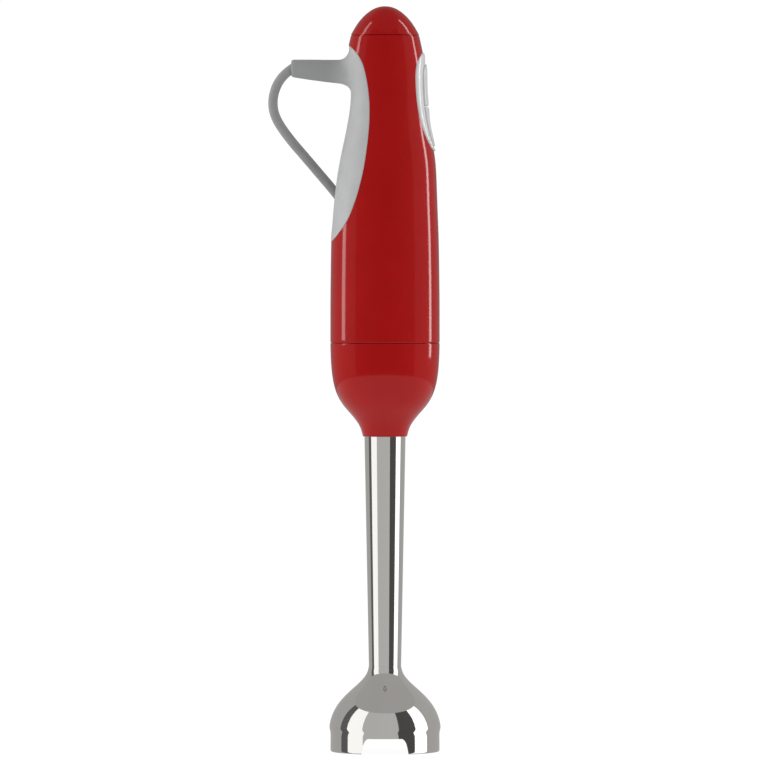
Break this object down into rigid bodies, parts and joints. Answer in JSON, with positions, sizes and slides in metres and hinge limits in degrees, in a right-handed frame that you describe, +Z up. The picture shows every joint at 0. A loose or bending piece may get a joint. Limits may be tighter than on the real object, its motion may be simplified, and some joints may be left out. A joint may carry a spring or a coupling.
{
  "type": "immersion blender",
  "caption": "Corded stick blender with a red motor body, soft rear grip, top speed dial, two front buttons and a twist-off steel leg with a notched bell guard.",
  "frame": {"origin": "on the drive shaft's axis, in the plane of the bell guard's rim, where the upright blender stands", "axes": "+Z up along the drive shaft towards the speed dial; +X from the axis towards the buttons; the grip and the cord exit are on -X; -Y faces the viewer"},
  "size_m": [0.0935, 0.2172, 0.4024],
  "materials": {
    "red_shell": "glossy red",
    "soft_grip": "satin soft-touch grey",
    "relief_grey": "satin grey",
    "cord_grey": "satin grey",
    "silver_plastic": "satin silver lacquer",
    "bright_rim": "polished silver",
    "steel": "polished stainless",
    "shaft_steel": "ground",
    "black_plastic": "matt black",
    "grey_plastic": "matt dark grey",
    "white_plastic": "natural",
    "orange_plastic": "matt",
    "board_green": "solder mask",
    "lamination": "laminated",
    "copper": "enamelled wire",
    "brass": "turned",
    "bronze": "sintered",
    "alloy": "die cast",
    "carbon": "carbon",
    "wire_dark": "insulated wire",
    "seal_rubber": "black"
  },
  "bodies": {
    "motor_unit": {"main_housing": "red_shell", "rear_grip": "soft_grip", "strain_relief": "relief_grey", "cord_inner": "cord_grey", "cord_clamp": "black_plastic", "switch_bezel": "bright_rim", "button_carrier": "black_plastic", "control_board": "board_green", "board_components": "black_plastic", "tact_switches": "black_plastic", "speed_pot": "grey_plastic", "wiring_loom": "wire_dark", "motor_chassis": "grey_plastic", "stator_core": "lamination", "field_coils": "copper", "upper_bracket": "alloy", "lower_bracket": "alloy", "upper_bearing": "shaft_steel", "lower_bearing": "shaft_steel", "brush_holders": "brass", "carbon_brushes": "carbon", "brush_springs": "shaft_steel", "base_plate": "black_plastic", "base_screws": "shaft_steel", "lock_ring_clip": "shaft_steel", "power_cord": "cord_grey", "cord_hank": "cord_grey", "cord_tail": "cord_grey", "cord_tie": "black_plastic", "plug_body": "cord_grey", "plug_blades": "brass"},
    "dial": {"speed_dial": "red_shell", "dial_shaft": "shaft_steel", "dial_clip": "shaft_steel"},
    "power_key": {"power_button": "silver_plastic"},
    "turbo_key": {"turbo_button": "silver_plastic"},
    "rotor": {"motor_shaft": "shaft_steel", "armature_core": "lamination", "armature_windings": "copper", "commutator": "copper", "cooling_fan": "white_plastic", "motor_coupler": "grey_plastic"},
    "lock_collar": {"lock_ring": "orange_plastic"},
    "leg": {"leg_collar": "red_shell", "socket_insert": "black_plastic", "insert_screws": "shaft_steel", "leg_core": "grey_plastic", "upper_bush": "bronze", "shaft_tube": "steel", "tube_liner": "grey_plastic", "bell_guard": "steel", "bell_hub": "grey_plastic", "lower_bush": "bronze", "shaft_seal": "seal_rubber"},
    "cutter": {"drive_shaft": "shaft_steel", "shaft_coupler": "grey_plastic", "shaft_circlip": "shaft_steel", "blade_hub": "grey_plastic", "blade": "steel", "blade_nut": "shaft_steel"}
  },
  "joints": [
    {"name": "speed_dial_turn", "type": "hinge", "parent": "motor_unit", "child": "dial", "pos_m": [0, 0, 0.386], "axis": [0, 0, 1], "range_deg": [-120, 120]},
    {"name": "power_button_press", "type": "slide", "parent": "motor_unit", "child": "power_key", "axis": [-1, 0, 0], "range_m": [0, 0.0016], "stiffness_N_per_m": 900, "springref_m": -0.0006},
    {"name": "turbo_button_press", "type": "slide", "parent": "motor_unit", "child": "turbo_key", "axis": [-1, 0, 0], "range_m": [0, 0.0016], "stiffness_N_per_m": 900, "springref_m": -0.0006},
    {"name": "rotor_spin", "type": "hinge", "parent": "motor_unit", "child": "rotor", "pos_m": [0, 0, 0.25], "axis": [0, 0, 1], "continuous": true},
    {"name": "leg_twist", "type": "hinge", "parent": "motor_unit", "child": "lock_collar", "pos_m": [0, 0, 0.21], "axis": [0, 0, 1], "range_deg": [0, 35]},
    {"name": "leg_pull", "type": "slide", "parent": "lock_collar", "child": "leg", "axis": [0, 0, -1], "range_m": [0, 0.028]},
    {"name": "blade_spin", "type": "hinge", "parent": "leg", "child": "cutter", "pos_m": [0, 0, 0.1], "axis": [0, 0, 1], "continuous": true}
  ],
  "couplings": [
    {"joint": "blade_spin", "follows": "rotor_spin", "ratio": 1}
  ]
}
